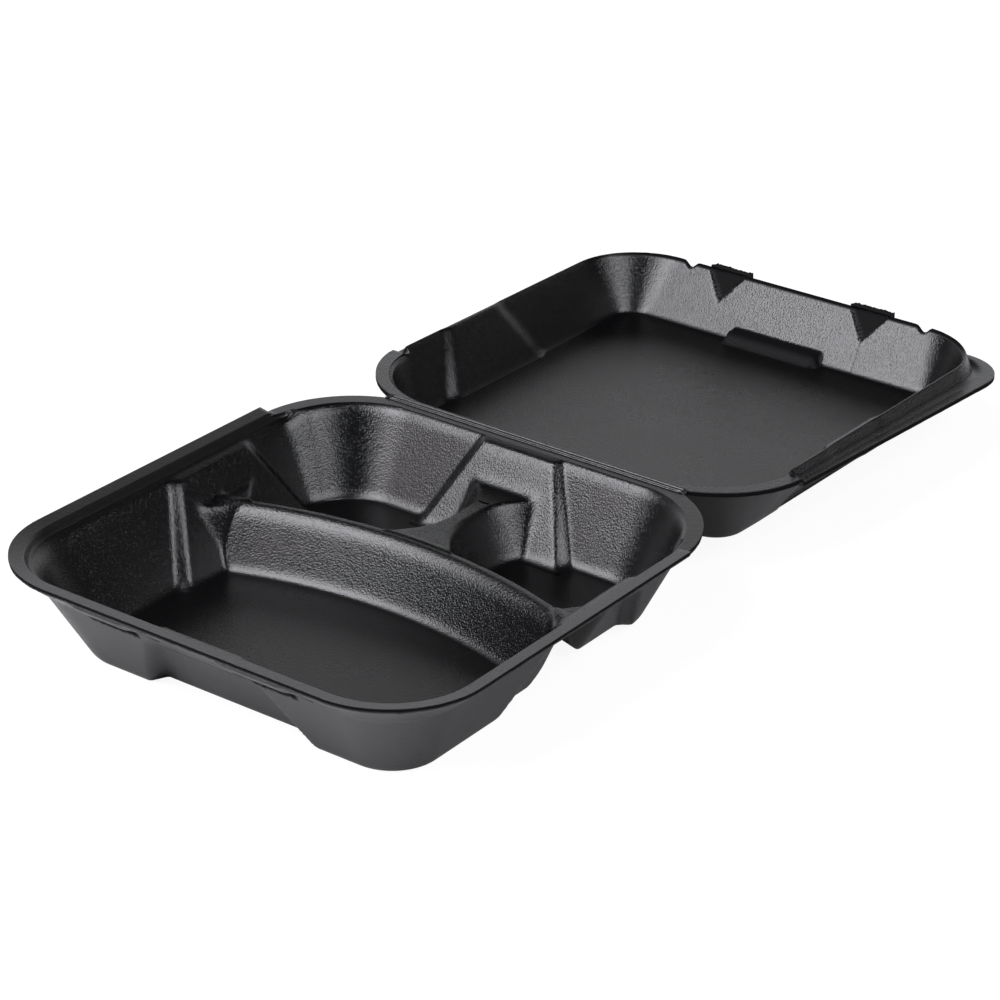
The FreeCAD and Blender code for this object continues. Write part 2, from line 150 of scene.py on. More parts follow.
NOTCHES = ((-65.0, 4.5, 3.0), (70.5, 4.5, 3.2))

# Level direction of the backdrop's middle, away from the camera
BACKDROP = (-0.588, 0.809, 0.0)


def smooth_max(a, b, k):
    """Larger of two heights; where they differ by less than k, a parabola rounds the corner."""
    h = np.clip(0.5 + 0.5 * (a - b) / k, 0, 1)
    return b + (a - b) * h + k * h * (1 - h)


def smooth_min(a, b, k):
    """Smaller of two heights, rounded the same way."""
    return -smooth_max(-np.asarray(a), -np.asarray(b), k)


def ease(x, low, high):
    """0 below low, 1 above high, and the cubic 3t^2 - 2t^3 between them."""
    t = np.clip((x - low) / (high - low), 0, 1)
    return t * t * (3 - 2 * t)


def graded(start, *stretches):
    """Row of positions from start through each (end, step), each stretch evenly divided."""
    out = [np.array([start], float)]
    here = start
    for end, step in stretches:
        count = max(1, round(abs(end - here) / step))
        out.append(np.linspace(here, end, count + 1)[1:])
        here = end
    return np.concatenate(out)


def wander(n, seed, reach, coarse):
    """Closed row of n smooth random offsets: white noise averaged over a few neighbours."""
    noise = np.random.default_rng(seed).normal(size=n)
    spectrum = np.fft.rfft(noise)
    spectrum *= np.exp(-(np.arange(len(spectrum)) * coarse / n) ** 2)
    row = np.fft.irfft(spectrum, n)
    return reach * row / np.abs(row).max()


class Ring:
    """Closed path of columns round a rounded rectangle, each side running from corner middle
    to corner middle. The columns in the fixed stretch of a side keep their place on every
    outline, and the rest are spread evenly to the corner's middle."""

    def __init__(self, fixed_x, fixed_y, ends):
        self.fixed = (fixed_x, fixed_y, fixed_x, fixed_y)
        self.ends = ends
        self.nx = len(fixed_x) - 1 + 2 * ends
        self.ny = len(fixed_y) - 1 + 2 * ends
        self.columns = 2 * (self.nx + self.ny)
        side = np.repeat([0, 1, 2, 3], [self.nx, self.ny, self.nx, self.ny])
        self.side = side
        self.inward = np.array([(0, 1), (-1, 0), (0, -1), (1, 0)], float)[side]

    def run(self, low, high, r_low, r_high, fixed):
        """Place along a side and the set-back from it: straight, then an arc of 45 degrees."""
        start = low + r_low * (1 - math.pi / 4)
        end = high - r_high * (1 - math.pi / 4)
        q = np.concatenate([np.linspace(start, fixed[0], self.ends + 1)[:-1], fixed,
                            np.linspace(fixed[-1], end, self.ends + 1)[1:]])
        a = np.maximum(low + r_low - q, 0) / r_low
        b = np.maximum(q - high + r_high, 0) / r_high
        place = q + r_low * (a - np.sin(a)) - r_high * (b - np.sin(b))
        back = r_low * (1 - np.cos(a)) + r_high * (1 - np.cos(b))
        return place, back

    def outline(self, half, y0, y1, r0, r1):
        """Plan points of every column on one rounded rectangle, anticlockwise from above."""
        fx, fy = self.fixed[:2]
        x, back = self.run(-half, half, r0, r0, fx)
        front = np.stack([x, y0 + back], 1)
        y, back = self.run(y0, y1, r0, r1, fy)
        right = np.stack([half - back, y], 1)
        left = np.stack([back - half, y], 1)[::-1]
        x, back = self.run(-half, half, r1, r1, fx)
        rear = np.stack([x, y1 - back], 1)[::-1]
        return np.concatenate([front[:-1], right[:-1], rear[:-1], left[:-1]])

    def loop(self, grid):
        """Boundary of an (ny+1, nx+1) grid in the order of the columns."""
        return np.concatenate([grid[0, :-1], grid[:-1, -1], grid[-1, :0:-1], grid[:0:-1, 0]])


def shell_faces(ring, rows, base_top, base_low):
    """Quads of a closed shell: a band of rows round the ring, and a grid over each core.
    The first row bounds the lower core, the last row the upper core."""
    c = ring.columns
    index = np.arange(rows * c).reshape(rows, c)
    nxt = np.roll(index, -1, axis=1)
    quads = [np.stack([index[:-1], nxt[:-1], nxt[1:], index[1:]], -1).reshape(-1, 4)]
    for base, row, flip in ((base_low, 0, True), (base_top, rows - 1, False)):
        grid = np.zeros((ring.ny + 1, ring.nx + 1), int)
        grid[1:-1, 1:-1] = base + np.arange((ring.ny - 1) * (ring.nx - 1)).reshape(
            ring.ny - 1, ring.nx - 1)
        ids = index[row]
        nx, ny = ring.nx, ring.ny
        grid[0, :-1] = ids[:nx]
        grid[:-1, -1] = ids[nx:nx + ny]
        grid[-1, :0:-1] = ids[nx + ny:2 * nx + ny]
        grid[:0:-1, 0] = ids[2 * nx + ny:]
        q = np.stack([grid[:-1, :-1], grid[:-1, 1:], grid[1:, 1:], grid[1:, :-1]], -1)
        q = q.reshape(-1, 4)
        quads.append(q[:, ::-1] if flip else q)
    return quads


def mesh_object(name, points, faces, attributes=None, smooth=True):
    """Mesh object in metres in the row's frame, from points in millimetres."""
    mesh = bpy.data.meshes.new(name)
    place = np.asarray(points, float) * MM + np.array([0, ORIGIN_Y, 0])
    mesh.from_pydata(place.tolist(), [], [list(map(int, f)) for f in faces])
    mesh.polygons.foreach_set("use_smooth", [smooth] * len(mesh.polygons))
    for key, values in (attributes or {}).items():
        layer = mesh.attributes.new(key, "FLOAT", "POINT")
        layer.data.foreach_set("value", np.asarray(values, np.float32))
    mesh.update()
    obj = bpy.data.objects.new(name, mesh)
    bpy.context.scene.collection.objects.link(obj)
    return obj


def panel_depth(t, z, panel, height, top, foot):
    """Depth of a pressed-in panel at place t and height z: a trapezoid, wide at the foot,
    whose depth eases to nothing over PANEL_EDGE at both sides."""
    top_centre, half_top, foot_centre, half_foot = panel
    share = np.clip(z / height, 0, 1)
    centre = foot_centre + (top_centre - foot_centre) * share
    half = half_foot + (half_top - half_foot) * share
    inside = ease(half - np.abs(t - centre), 0, PANEL_EDGE)
    return (foot + (top - foot) * share) * inside


def ridge_gap(x, y):
    """Distance behind the main divider's ridge line, negative in front of it."""
    return np.hypot(x, y - RIDGE_CY) - RIDGE_R


def dividers(x, y, thinner, cap):
    """Height of the dividers' surface over the plan: flat tops of height cap whose sides fall
    away at their own slopes, all moved in by thinner to give the underside."""
    gap = ridge_gap(x, y)
    skin = thinner * math.hypot(1, RIDGE_FRONT_RUN)
    front = RIDGE_Z - (-gap - RIDGE_FRONT_SET + skin) / RIDGE_FRONT_RUN
    skin = thinner * math.hypot(1, RIDGE_REAR_RUN)
    rear = RIDGE_Z - (gap - RIDGE_HALF + skin) / RIDGE_REAR_RUN
    main = smooth_min(smooth_min(cap, front, RIDGE_FRONT_ROUND), rear, RIDGE_REAR_ROUND)

    side = np.abs(x) - MID_HALF
    junction = (side - (JUNCTION_Y - y) * JUNCTION_SPREAD) / math.hypot(1, JUNCTION_SPREAD)
    flare = (side - (y - FLARE_Y) * FLARE_SPREAD) / math.hypot(1, FLARE_SPREAD)
    away = smooth_min(smooth_min(side, junction, JUNCTION_ROUND), flare, FLARE_ROUND)
    skin = thinner * math.hypot(1, MID_RUN)
    middle = smooth_min(cap, RIDGE_Z - (away + skin) / MID_RUN, MID_ROUND)
    middle = np.where(gap > 0, middle, -50.0)

    wedge = (np.abs(y - END_Y) - END_SPREAD * (np.abs(x) - END_TIP_X)) / math.hypot(1, END_SPREAD)
    ends = smooth_min(cap, RIDGE_Z - (wedge + thinner) / END_RUN, END_ROUND)
    return smooth_max(smooth_max(main, middle, MEETING_ROUND), ends, END_MEETING_ROUND)


def tray_outline(ring, a):
    """Outline of the tray at inset a: round the lip first, then down the walls, where the
    corners tighten more slowly than the walls close in."""
    over = max(min(a, WALL_FOOT_A) - BAND, 0.0)
    half = HALF - a
    y0 = min(a, BAND) + FRONT_LEAN * max(a - BAND, 0.0)
    y1 = REAR_LIMIT - min(a, BAND) - REAR_LEAN * max(a - BAND, 0.0)
    closing = max(0.0, min(1.0, (CORE_A - a) / (CORE_A - WALL_FOOT_A)))
    r0 = LIP_CORNER - min(a, BAND) - FRONT_TIGHTEN * over
    r1 = REAR_CORNER - min(a, BAND) - REAR_TIGHTEN * over
    return ring.outline(half, y0, y1, r0 * closing + 0.05, r1 * closing + 0.05)


def rear_share(y, a):
    """1 where the low flange stands in for the lip: a short step at the rim, longer and
    further back below, where the start of the lid's crest comes to lie."""
    width = END_STEP + END_SLOPE * ease(a, 8.5, 11.5)
    end = LIP_END_Y + CREST_ROOM * ease(a, 6.8, 8.2)
    return ease(y, end - width, end + width)


def tray_top(a, rear_a, share):
    """Height of the inner face over the walls: lip, its inner face, shoulder, then the wall."""
    lip_top = TRAY_H - LIP_TILT * a
    lip_face = lip_top - LIP_FACE_SLOPE * (a - LIP_WIDTH)
    shoulder = SHOULDER_Z - SHOULDER_SLOPE * (a - SHOULDER_A)
    wall = FLOOR_FRONT + (WALL_FOOT_A - a) / WALL_RUN
    inner = smooth_min(shoulder, wall, SHOULDER_ROUND)
    lip = smooth_min(lip_top, smooth_max(lip_face, inner, LIP_FOOT_ROUND), LIP_ROUND)
    rear_wall = FLOOR_REAR + (REAR_FOOT_A - rear_a) * REAR_RISE
    return lip + (smooth_min(FLANGE_Z, rear_wall, SHOULDER_ROUND) - lip) * share


def tray_low(a):
    """Height of the outer face: sloping band under the lip, crease, then the wall."""
    band = FLANGE_Z - BAND_SLOPE * a
    wall = (OUTER_FOOT_A - a) / WALL_RUN
    return smooth_min(band, wall, CREASE_ROUND)


def tray_rows(ring, insets, upper):
    """Plan points and heights of one face of the tray, row by row from the rim inwards."""
    limit = FLANGE_INNER if upper else BAND
    points, heights, gloss = [], [], []
    first = tray_outline(ring, 0.0)
    for a in insets:
        rear_a = FLANGE_SET + a * (limit - FLANGE_SET) / limit if a < limit else a
        front_xy, rear_xy = tray_outline(ring, a), tray_outline(ring, rear_a)
        rear_xy[:, 1] = np.minimum(rear_xy[:, 1], HINGE_EDGE - 0.8 * (rear_a - FLANGE_SET))
        share = rear_share(first[:, 1], a)
        xy = front_xy + (rear_xy - front_xy) * share[:, None]
        z = tray_top(a, rear_a, share) if upper else tray_low(a + (rear_a - a) * share)
        along = np.where(ring.side % 2 == 0, xy[:, 0], xy[:, 1])
        depth = np.where(ring.side % 2 == 0,
                         panel_depth(along, z, END_PANEL, TRAY_H, PANEL_TOP, END_FOOT),
                         panel_depth(along, z, SIDE_PANEL, TRAY_H, PANEL_TOP, SIDE_FOOT))
        start = PANEL_START if upper else PANEL_START_OUTER
        depth = depth * ease(a, *start) * (1 - ease(a, WALL_FOOT_A + 1, CORE_A))
        xy = xy + ring.inward * depth[:, None]
        points.append(xy)
        heights.append(z)
        gloss.append(np.full(len(z), float(ease(a, 9.0, 12.0))))
    return np.array(points), np.array(heights), np.array(gloss)


def tray_core(ring, core):
    """Grid over the compartments. Its rows bow backwards with the main divider's arc, so that
    one row runs along the ridge, and are straight at the front and rear."""
    nx, ny = ring.nx, ring.ny
    x = core[:nx + 1, 0]
    y = core[nx:nx + ny + 1, 1]
    edge = RIDGE_CY + math.sqrt(RIDGE_R ** 2 - x[-1] ** 2)
    rise = RIDGE_CY + np.sqrt(RIDGE_R ** 2 - x ** 2) - edge
    bow = ease(y, y[0], 118.0) * (1 - ease(y, 168.0, y[-1]))
    return np.stack([np.broadcast_to(x, (ny + 1, nx + 1)),
                     y[:, None] + rise[None, :] * bow[:, None]], -1)


def finish_heights(xy, z, upper):
    """Adds floors and dividers to wall heights; gives heights and how glossy the skin is."""
    x, y = xy[..., 0], xy[..., 1]
    behind = ease(ridge_gap(x, y), -1.0, 1.0)
    floor = FLOOR_FRONT + (FLOOR_REAR - FLOOR_FRONT) * behind
    if upper:
        walls = smooth_max(z, floor, FLOOR_ROUND)
        top = dividers(x, y, 0.0, RIDGE_Z)
        height = smooth_max(walls, top, WALL_END_ROUND)
        flat = 1 - ease(height - floor, 0.3, 3.0)
    else:
        foot = floor - FLOOR_T
        walls = smooth_max(z, foot, FLOOR_OUTER_ROUND)
        top = dividers(x, y, SHEET, ROOF_Z)
        height = smooth_max(walls, top, WALL_END_OUTER_ROUND)
        flat = 0 * height
    return height, flat


def cut_slots(ring, band, rows, fixed_x, upper_a, lower_a):
    """Opens the slots behind the lip: leaves out the quads of both faces between the slot's
    insets, and joins the two openings by a wall of quads round each."""
    c = ring.columns
    first, last = SLOT_A
    u0, u1 = (int(np.argmin(np.abs(upper_a - v))) for v in (first, last))
    l0, l1 = (int(np.argmin(np.abs(lower_a - v))) for v in (first, last))
    upper_row = rows - len(upper_a)
    lower_row = len(lower_a) - 1
    quads = band.reshape(rows - 1, c, 4)
    keep = np.ones((rows - 1, c), bool)
    walls = []
    for x0, x1 in SLOTS:
        c0, c1 = (ring.ends + int(np.argmin(np.abs(fixed_x - v))) for v in (x0, x1))
        keep[upper_row + u0:upper_row + u1, c0:c1] = False
        keep[lower_row - l1:lower_row - l0, c0:c1] = False
        across, along = np.arange(u1 - u0 + 1), np.arange(c0, c1 + 1)
        loop_row = np.concatenate([0 * along[:-1], across[:-1], 0 * along[:-1] + across[-1],
                                   across[:0:-1]])
        loop_col = np.concatenate([along[:-1], 0 * across[:-1] + c1, along[:0:-1],
                                   0 * across[:-1] + c0])
        top = (upper_row + u0 + loop_row) * c + loop_col
        low = (lower_row - l0 - loop_row) * c + loop_col
        walls.append(np.stack([top, low, np.roll(low, -1), np.roll(top, -1)], -1)[:, ::-1])
    return np.concatenate([quads[keep]] + walls)


def torn_crease_and_shadow(ring, xy, insets):
    """Torn edge and painted shadow on the outer face: 1 in a ragged line below each strip, from
    the crease down, fading to 0 over a fraction of a millimetre. The black line is partly the
    torn edge and partly painted shadow in the gap under the strip."""
    inside = np.zeros(ring.columns)
    for x0, x1 in STRIPS:
        x = xy[-6, :, 0]
        inside = np.maximum(inside, ease(x, x0 - 1.0, x0 + 0.5) * (1 - ease(x, x1 - 0.5, x1 + 1.0)))
    low = 13.5 + wander(ring.columns, 11, 0.35, 2.0)[None, :]
    a = insets[:, None]
    return ease(a, 10.4, 11.0) * (1 - ease(a, low - 0.3, low + 0.3)) * (inside * (ring.side == 0))


def make_tray():
    """The tray as one closed shell: underside, cut edge and inner face on a shared ring."""
    fixed_x = graded(-62, (SLOTS[0][0], 1.4), (SLOTS[0][1], 1.0), (-8, 1.1), (8, 0.9),
                     (SLOTS[1][0], 1.0), (SLOTS[1][1], 1.0), (62, 1.4))
    fixed_y = graded(88, (120, 1.8), (134, 1.2), (148, 0.7), (162, 1.2), (186, 1.8))
    ring = Ring(fixed_x, fixed_y, 22)
    slot_a = [(SLOT_A[0] + 1.6, 0.4), (SLOT_A[1], 0.5)]
    upper_a = graded(0.0, (0.5, 0.17), (5.3, 1.2), (SLOT_A[0], 0.34), *slot_a, (15, 0.6),
                     (25, 0.9), (34, 0.6), (CORE_A, 1.0))
    lower_a = graded(0.2, (1.0, 0.4), (SLOT_A[0], 1.6), *slot_a, (14.4, 0.45), (24, 1.5),
                     (33, 0.75), (CORE_A, 2.0))
    up_xy, up_z, up_gloss = tray_rows(ring, upper_a, True)
    low_xy, low_z, _ = tray_rows(ring, lower_a, False)
    up_h, up_flat = finish_heights(up_xy, up_z, True)
    low_h, _ = finish_heights(low_xy, low_z, False)

    core_up = tray_core(ring, up_xy[-1])
    deep = np.full(core_up.shape[:2], -40.0)
    core_h, core_flat = finish_heights(core_up, deep, True)
    core_low, _ = finish_heights(core_up, deep, False)
    up_h[-1] = ring.loop(core_h)
    low_h[-1] = ring.loop(core_low)
    up_xy[-1] = ring.loop(core_up)
    low_xy[-1] = ring.loop(core_up)

    rough = wander(ring.columns, 3, 0.14, 3.0)
    low_xy[0] += ring.inward * rough[:, None]
    low_h[0] += wander(ring.columns, 4, 0.2, 2.5)
    edge_xy = np.stack([up_xy[0], up_xy[0]]) - ring.inward * 0.05
    drop = up_h[0] - low_h[0]
    edge_h = np.stack([low_h[0] + 0.52 * drop, up_h[0] - 0.12 * drop])
    edge_h += wander(ring.columns, 5, 0.15, 2.0)

    band_xy = np.concatenate([low_xy[::-1], edge_xy, up_xy])
    band_h = np.concatenate([low_h[::-1], edge_h, up_h])
    rows = len(band_h)
    inner = (slice(1, -1), slice(1, -1))
    points = [np.dstack([band_xy, band_h]).reshape(-1, 3),
              np.dstack([core_up[inner], core_h[inner]]).reshape(-1, 3),
              np.dstack([core_up[inner], core_low[inner]]).reshape(-1, 3)]
    base_top = rows * ring.columns
    base_low = base_top + len(points[1])
    quads = shell_faces(ring, rows, base_top, base_low)
    quads[0] = cut_slots(ring, quads[0], rows, fixed_x, upper_a, lower_a)
    zeros = np.zeros(len(lower_a) * ring.columns)
    # Below each strip the outer face carries the torn edge and a painted shadow of the gap under
    # the strip
    torn_and_shadow = torn_crease_and_shadow(ring, low_xy, lower_a)
    outside = [np.ones_like(zeros), np.ones(2 * ring.columns), np.zeros(up_h.size),
               np.zeros(len(points[1])), np.ones(len(points[2]))]
    cut_and_shade = [torn_and_shadow[::-1].ravel(), np.ones(2 * ring.columns), np.zeros(up_h.size),
           np.zeros(len(points[1])), np.zeros(len(points[2]))]
    wall = [zeros, np.zeros(2 * ring.columns), (up_gloss * (1 - up_flat)).ravel(),
            (1 - core_flat)[inner].ravel(), np.zeros(len(points[2]))]
    attributes = {"outside": np.concatenate(outside), "cut_and_shade": np.concatenate(cut_and_shade),
                  "wall": np.concatenate(wall)}
    return mesh_object("tray_shell", np.concatenate(points), np.concatenate(quads), attributes)


def lid_wall_outline(ring, h, out):
    """Outline of the lid's wall at height h over the hinge plane, moved outwards by out."""
    rise = h - LID_FLOOR_H
    share = rise / -LID_FLOOR_H
    near, far = (low + (high - low) * share + out for low, high in (LID_NEAR_R, LID_FAR_R))
    return ring.outline(LID_FLOOR_X + LID_SIDE * rise + out, LID_NEAR_S - LID_NEAR * rise - out,
                        LID_FAR_S + LID_FAR * rise + out, near, far)


def lid_edge_outline(ring):
    """Outer edge of the lid: near rim mirrored from the tray's flange, then the wide flange
    whose sides spread towards the far corners."""
    near = ring.outline(HALF - FLANGE_SET, 239 - REAR_LIMIT + FLANGE_SET, LID_REACH,
                        REAR_CORNER - FLANGE_SET, FLANGE_CORNER)
    near[:, 1] = np.maximum(near[:, 1], 0.3)
    far = ring.outline(FLANGE_FAR_X, 0.0, LID_REACH, 50.0, FLANGE_CORNER)
    straight_end = LID_REACH - FLANGE_CORNER
    taper = (FLANGE_FAR_X - FLANGE_NEAR_X) / (straight_end - FLANGE_START)
    narrow = taper * np.maximum(straight_end - far[:, 1], 0)
    far[:, 0] *= 1 - narrow / FLANGE_FAR_X
    return near, far


def lid_to_frame(points):
    """Turns lid points (x, s, h) by the droop about the hinge and sets them behind the tray."""
    p = np.asarray(points, float).copy()
    s, h = p[:, 1].copy(), p[:, 2] - (HINGE_Z - FLANGE_Z)
    p[:, 1] = HINGE_Y + s * math.cos(DROOP) + h * math.sin(DROOP)
    p[:, 2] = HINGE_Z - s * math.sin(DROOP) + h * math.cos(DROOP)
    return p


def lid_features(xy, h):
    """Stop block on the far wall's foot, added to the lid's inner heights."""
    x, s = xy[..., 0], xy[..., 1]
    middle = sum(BLOCK_X) / 2
    half = (BLOCK_X[1] - BLOCK_X[0]) / 2
    side = half - np.abs(x - middle)
    face = s - BLOCK_S
    block = BLOCK_H + np.minimum(np.minimum(side, face), 0) * 5.0
    return smooth_max(h, smooth_min(block, BLOCK_H, 0.6), 0.8)


def pocket_depth(x, h):
    """Depth of the two three-cornered pockets in the far wall, sharp at their edges."""
    depth = np.zeros_like(x)
    for centre, half_top in POCKETS:
        half = half_top * np.clip((h - POCKET_TIP_H) / (CREST_H - POCKET_TIP_H), 0, 1.3)
        depth = np.maximum(depth, POCKET_DEPTH * ease(half - np.abs(x - centre), -0.3, 1.6))
    return depth


def lid_panel_offset(ring, xy, h, start):
    """Depth of the side walls' panels, starting below the height start and gone at the floor."""
    height = np.clip(h, LID_FLOOR_H, CREST_H) - LID_FLOOR_H
    depth = panel_depth(xy[:, 1], height, LID_PANEL, -LID_FLOOR_H,
                        LID_PANEL_TOP, LID_PANEL_FOOT)
    return depth * (ring.side % 2 == 1) * ease(start - h, 0, 1.0) * (1 - ease(-h, 27, 31))


def lid_upper(ring, edge, crest_line, near_crest, share):
    """Rows of the lid's inner side: flange, outer face of the crest, crest, wall with its
    pockets and panels, foot."""
    far = ease(crest_line[:, 1], 205, 222)
    notch = np.zeros(ring.columns)
    for centre, half, depth in NOTCHES:
        dip = ease(1 - np.abs(crest_line[:, 0] - centre) / half, 0, 1)
        notch = np.maximum(notch, depth * dip * far)
    crest_h = CREST_H - notch
    flange_h = FLANGE_H - FLANGE_FALL * (edge[:, 1] - FLANGE_START)

    def top_height(gap, wall_h):
        ramp = smooth_max(flange_h, crest_h - np.maximum(gap - 0.5, 0) / CREST_RUN, 1.4)
        raised = smooth_min(ramp, smooth_min(crest_h, wall_h, 0.9), 0.9)
        near = smooth_min(0.0, wall_h, 3.0)
        return near + (raised - near) * share

    above = np.full(ring.columns, 50.0)
    # Painted shade: the step at each start of the crest is set dull black
    step = 4 * share * (1 - share)
    plan, heights, dark = [], [], []
    for u in graded(0.0, (0.1, 0.05), (0.7, 0.15), (1.0, 0.025)):
        xy = edge + (crest_line - edge) * u
        plan.append(xy)
        heights.append(top_height(np.linalg.norm(crest_line - xy, axis=1), above))
        dark.append(np.maximum(far * ease(u, 0.3, 0.6), step * ease(u, 0.5, 0.8)))
    for h in graded(CREST_H, (-4, 0.5), (-18, 1.4), (-31, 0.9)):
        out = 0.45 * (1 - ease(CREST_H - h, 0, 2.0))
        xy = lid_wall_outline(ring, h, float(out))
        if h > 0:
            xy = near_crest + (xy - near_crest) * share[:, None]
        height = top_height(np.zeros(ring.columns), np.full(ring.columns, h))
        panel = lid_panel_offset(ring, xy, height, CREST_H + 0.5)
        pocket = pocket_depth(xy[:, 0], height) * (ring.side == 2)
        plan.append(xy + ring.inward * (panel - pocket)[:, None])
        heights.append(height)
        top = 1 - ease(CREST_H - h, 0.9, 2.0)
        # Painted shade: the deep part of each pocket and the step at the crest's start are set dull
        # black
        dark.append(np.maximum(0.8 * ease(pocket, 1.0, 2.5), np.maximum(far, step) * top))
    return plan, heights, dark, flange_h


def lid_lower(ring, edge, flange_h, share):
    """Rows of the lid's outer side: underside of the rim, then the wall, then the foot."""
    under = np.where(share < 0.5, 0.0, flange_h) - LID_RIM_T
    top, foot = -5.0, -31.0
    high, low = lid_wall_outline(ring, top, LID_SHEET), lid_wall_outline(ring, foot, LID_SHEET)

    def wall(h):
        return high + (low - high) * ((top - h) / (top - foot))[:, None]

    plan, heights = [], []
    for u in graded(0.02, (0.12, 0.05), (1.0, 0.11)):
        plan.append(edge + (wall(under) - edge) * u)
        heights.append(under)
    for v in graded(0.04, (0.6, 0.08), (1.0, 0.04)):
        h = under + (-32.0 - under) * v
        xy = wall(h)
        panel = lid_panel_offset(ring, xy, h, -5.2)
        plan.append(xy + ring.inward * panel[:, None])
        heights.append(h)
    return plan, heights


def make_lid():
    """The lid as one closed shell, built flat and then turned by its droop."""
    fixed_x = graded(-80, (-58, 1.1), (-26, 0.7), (24, 2.2), (56, 0.7), (80, 1.1))
    fixed_y = graded(42, (50, 0.7), (150, 3.0))
    ring = Ring(fixed_x, fixed_y, 24)
    near_edge, far_edge = lid_edge_outline(ring)
    crest_line = lid_wall_outline(ring, CREST_H, 0.5)
    share = ease(crest_line[:, 1], CREST_START - 1.5, CREST_START + 1.5)
    edge = near_edge + (far_edge - near_edge) * ease(crest_line[:, 1], 41.5, 43.5)[:, None]
    near_crest = lid_wall_outline(ring, 0.0, 1.5)
    crest_line = near_crest + (crest_line - near_crest) * share[:, None]
    crest_line += 0.25 * ring.inward * lid_panel_offset(
        ring, crest_line, np.full(ring.columns, CREST_H), CREST_H + 1.0)[:, None]

    up_xy, up_h, dark, flange_h = lid_upper(ring, edge, crest_line, near_crest, share)
    low_xy, low_h = lid_lower(ring, edge, flange_h, share)
    core = ring.outline(LID_CORE[0], LID_CORE[1], LID_CORE[2], 0.05, 0.05)
    foot_up, foot_low = up_xy[-1], low_xy[-1]
    for u in (0.4, 0.75, 1.0):
        up_xy.append(foot_up + (core - foot_up) * u)
        up_h.append(np.full(ring.columns, -60.0))
        dark.append(np.zeros(ring.columns))
    for u in (0.5, 1.0):
        low_xy.append(foot_low + (core - foot_low) * u)
        low_h.append(np.full(ring.columns, -60.0))
    up_xy, low_xy = np.array(up_xy), np.array(low_xy)
    up_h = smooth_max(np.array(up_h), LID_FLOOR_H, 2.6)
    low_h = smooth_max(np.array(low_h), LID_BOTTOM_H, 3.5)
    bare = up_h
    up_h = lid_features(up_xy, up_h)
    dark = np.maximum(np.array(dark), ease(up_h - bare, 0.2, 0.8))

    nx, ny = ring.nx, ring.ny
    x, y = core[:nx + 1, 0], core[nx:nx + ny + 1, 1]
    core_xy = np.stack(np.broadcast_arrays(x[None, :], y[:, None]), -1)
    core_h = np.full(core_xy.shape[:2], LID_FLOOR_H)
    low_core = np.full(core_h.shape, LID_BOTTOM_H)
    up_h[-1] = ring.loop(core_h)

    low_xy[0] += ring.inward * wander(ring.columns, 7, 0.16, 2.0)[:, None]
    edge_xy = np.stack([up_xy[0], up_xy[0]]) - ring.inward * 0.05
    drop = up_h[0] - low_h[0]
    edge_h = np.stack([low_h[0] + 0.2 * drop, up_h[0] - 0.15 * drop])

    band_xy = np.concatenate([low_xy[::-1], edge_xy, up_xy])
    band_h = np.concatenate([low_h[::-1], edge_h, up_h])
    inner = (slice(1, -1), slice(1, -1))
    points = [np.dstack([band_xy, band_h]).reshape(-1, 3),
              np.dstack([core_xy[inner], core_h[inner]]).reshape(-1, 3),
              np.dstack([core_xy[inner], low_core[inner]]).reshape(-1, 3)]
    base_top = band_h.size
    quads = shell_faces(ring, len(band_h), base_top, base_top + len(points[1]))
    low_n, edge_n, core_n = low_h.size, 2 * ring.columns, len(points[1])
    outside = np.concatenate([np.ones(low_n + edge_n), np.zeros(up_h.size + core_n),
                              np.ones(core_n)])
    cut_and_shade = np.concatenate([np.zeros(low_n), np.ones(edge_n), dark.ravel(), np.zeros(2 * core_n)])
    skin = ease(up_h - LID_FLOOR_H, 0.3, 3.0).ravel()
    walls = np.concatenate([np.zeros(low_n + edge_n), skin, np.zeros(2 * core_n)])
    return mesh_object("lid_shell", lid_to_frame(np.concatenate(points)), np.concatenate(quads),
                       {"outside": outside, "cut_and_shade": cut_and_shade, "wall": walls})


def sweep(name, sections, attributes):
    """Closed solid through a row of sections of the same number of points, capped at both
    ends. Sections run clockwise seen from the first one's outer side."""
    sections = np.asarray(sections)
    n, m = sections.shape[:2]
    index = np.arange(n * m).reshape(n, m)
    nxt = np.roll(index, -1, axis=1)
    quads = np.stack([index[:-1], nxt[:-1], nxt[1:], index[1:]], -1).reshape(-1, 4)
    faces = quads.tolist() + [index[0, ::-1].tolist(), index[-1].tolist()]
    return mesh_object(name, sections.reshape(-1, 3), faces, attributes)


def make_strip(name, slot, tear, seed):
    """Strip over a slot, standing out of the sloping band along the tear and almost level with
    it beyond. Its lower edge is ragged, and it sinks back towards the tear's right end."""
    along = np.linspace(min(slot[0], tear[0]) - 0.6, max(slot[1], tear[1]) + 0.6, 48)
    raised = ease(along, tear[0] - 1.0, tear[0] + 0.5)
    raised *= 1 - ease(along, tear[1] - 4.0, tear[1] + 1.0)
    stand = STRIP_OUT * (0.15 + 0.85 * raised)
    ragged = wander(48, seed, 0.18, 1.5)
    a = np.array([0.5, 5.0, 9.4, 10.0, 11.0, 12.0, 8.0, 3.0])
    out = np.array([0.1, 1.0, 1.0, 1.0, 1.1, -1.2, -2.4, -2.4])
    inset = a + ragged[:, None] * (a > 9.0)
    lift = out * np.where(out > 0, stand[:, None], 0.45)
    slope = math.hypot(1, BAND_SLOPE)
    y = inset - lift * BAND_SLOPE / slope
    z = FLANGE_Z - BAND_SLOPE * inset - lift / slope
    x = np.broadcast_to(along[:, None], y.shape)
    # The torn lower edge is dull black as cut foam, and the strip's back is painted shade, the
    # shadow under the strip
    dark = np.broadcast_to(((a > 9.5) | (out < 0)).astype(float), y.shape)
    return sweep(name, np.dstack([x, y, z]), {
        "cut_and_shade": dark.ravel(), "outside": np.ones(y.size), "wall": np.zeros(y.size)})


